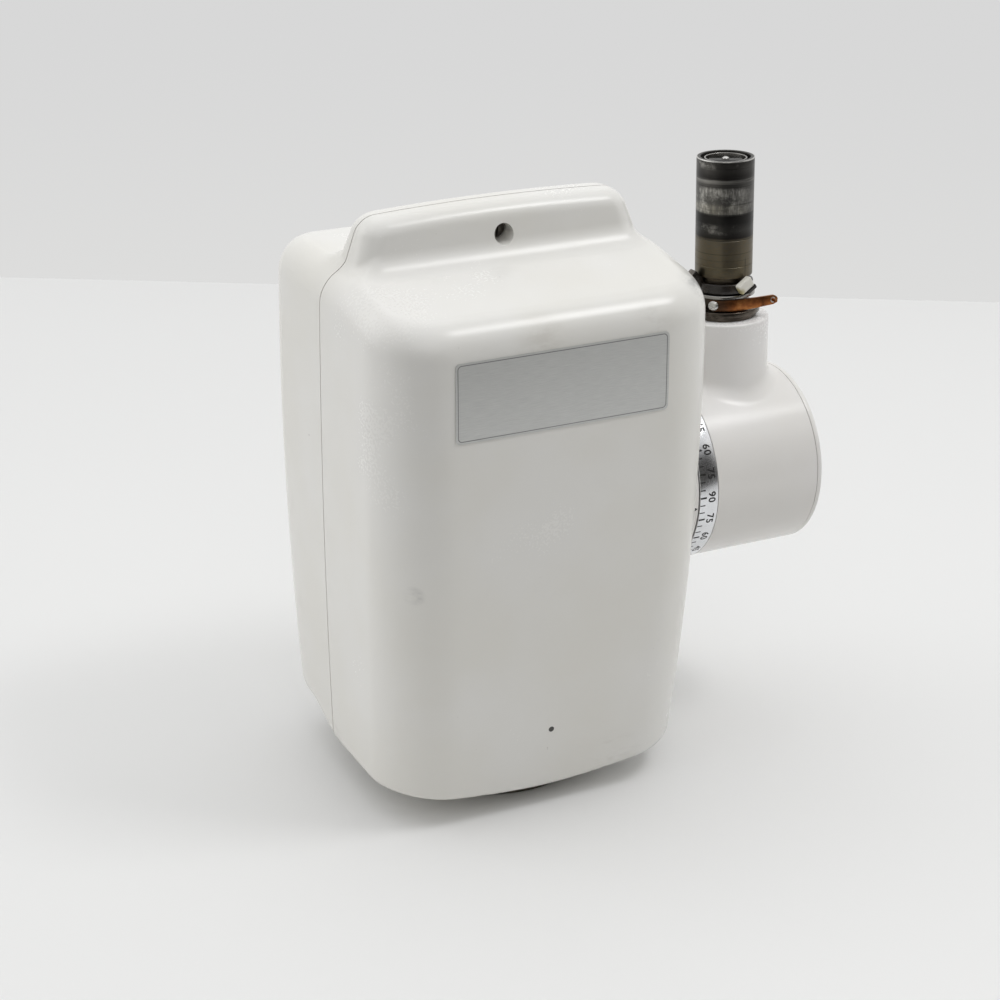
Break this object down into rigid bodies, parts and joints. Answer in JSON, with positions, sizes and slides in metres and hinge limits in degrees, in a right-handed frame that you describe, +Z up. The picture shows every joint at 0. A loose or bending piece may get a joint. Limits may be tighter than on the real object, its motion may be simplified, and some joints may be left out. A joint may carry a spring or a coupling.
{
  "type": "dental x-ray tube head",
  "caption": "Intraoral dental X-ray tube head: white two-shell casing on a cone collar, with a graduated swivel elbow and a steel arm spigot.",
  "frame": {"origin": "middle of the object's bounding box at the surface it stands on; the beam axis is at x -35.7 mm, y -2.35 mm", "axes": "+Z up, away from the cone collar; +X along the elbow's swivel axis, from the head to the elbow; -Y is the front, with the label plate"},
  "size_m": [0.2218, 0.1314, 0.2526],
  "materials": {
    "casing_plastic": "satin moulded warm off-white plastic",
    "elbow_paint": "satin warm white paint on a cast elbow",
    "label_foil": "bare silver-grey foil",
    "dial_aluminium": "bright turned ring with black filled marks",
    "dark_steel": "blackened steel, worn and scratched round",
    "bright_steel": "plain turned steel",
    "spring_bronze": "browned copper-coloured strip",
    "copper": "copper",
    "black_plastic": "black moulded plastic",
    "natural_nylon": "yellowed white nylon",
    "rubber": "black rubber",
    "cast_alloy": "bare cast aluminium",
    "lead": "dull lead sheet",
    "tube_glass": "clear hard glass",
    "core_iron": "laminated iron"
  },
  "bodies": {
    "head": {"front_shell": "casing_plastic", "rear_shell": "casing_plastic", "label_plate": "label_foil", "case_screw": "dark_steel", "cone_collar": "black_plastic", "diaphragm_clip": "bright_steel", "lead_diaphragm": "lead", "beam_filter": "cast_alloy", "beam_window": "black_plastic", "oil_tank": "cast_alloy", "tank_gasket": "rubber", "tank_lid": "cast_alloy", "lid_screw_1": "bright_steel", "lid_screw_2": "bright_steel", "lid_screw_3": "bright_steel", "lid_screw_4": "bright_steel", "expansion_bellows": "rubber", "tube_envelope": "tube_glass", "anode": "copper", "cathode_cup": "bright_steel", "lead_shield": "lead", "transformer_core": "core_iron", "secondary_winding": "copper", "primary_winding": "copper", "filament_transformer": "core_iron", "terminal_block": "black_plastic", "head_harness": "rubber", "swivel_flange": "elbow_paint", "flange_screw_1": "bright_steel", "flange_screw_2": "bright_steel", "flange_screw_3": "bright_steel", "shaft_bush_inner": "spring_bronze", "shaft_bush_outer": "spring_bronze"},
    "elbow": {"swivel_shaft": "bright_steel", "thrust_washer": "spring_bronze", "disc_spring": "bright_steel", "shaft_nut": "bright_steel", "friction_disc": "black_plastic", "stop_pin": "bright_steel", "dial_ring": "dial_aluminium", "elbow_housing": "elbow_paint", "elbow_cap": "elbow_paint", "elbow_harness": "rubber", "neck_bush_lower": "spring_bronze", "neck_bush_upper": "spring_bronze"},
    "spigot": {"spigot_tube": "dark_steel", "spigot_circlip": "bright_steel", "lower_washer": "dark_steel", "upper_washer": "bright_steel", "brake_band": "spring_bronze", "band_screw": "bright_steel", "stop_ring": "black_plastic", "stop_block": "natural_nylon", "sleeve_insulator": "black_plastic", "contact_sleeve": "bright_steel", "contact_insulator": "black_plastic", "contact_bridge": "black_plastic", "contact_spring": "bright_steel", "spigot_harness": "rubber"},
    "contact": {"contact_pin": "bright_steel"}
  },
  "joints": [
    {"name": "head_tilt", "type": "hinge", "parent": "head", "child": "elbow", "pos_m": [-0.0357, 0.00565, 0.1148], "axis": [1, 0, 0], "range_deg": [-130.6, 139.4]},
    {"name": "spigot_swivel", "type": "hinge", "parent": "elbow", "child": "spigot", "pos_m": [0.0823, 0.00565, 0.1148], "axis": [0, 0.0767, 0.9971], "range_deg": [-165, 165]},
    {"name": "contact_press", "type": "slide", "parent": "spigot", "child": "contact", "axis": [0, -0.0767, -0.9971], "range_m": [0, 0.002], "stiffness_N_per_m": 400, "deforming": ["contact_spring"]}
  ]
}
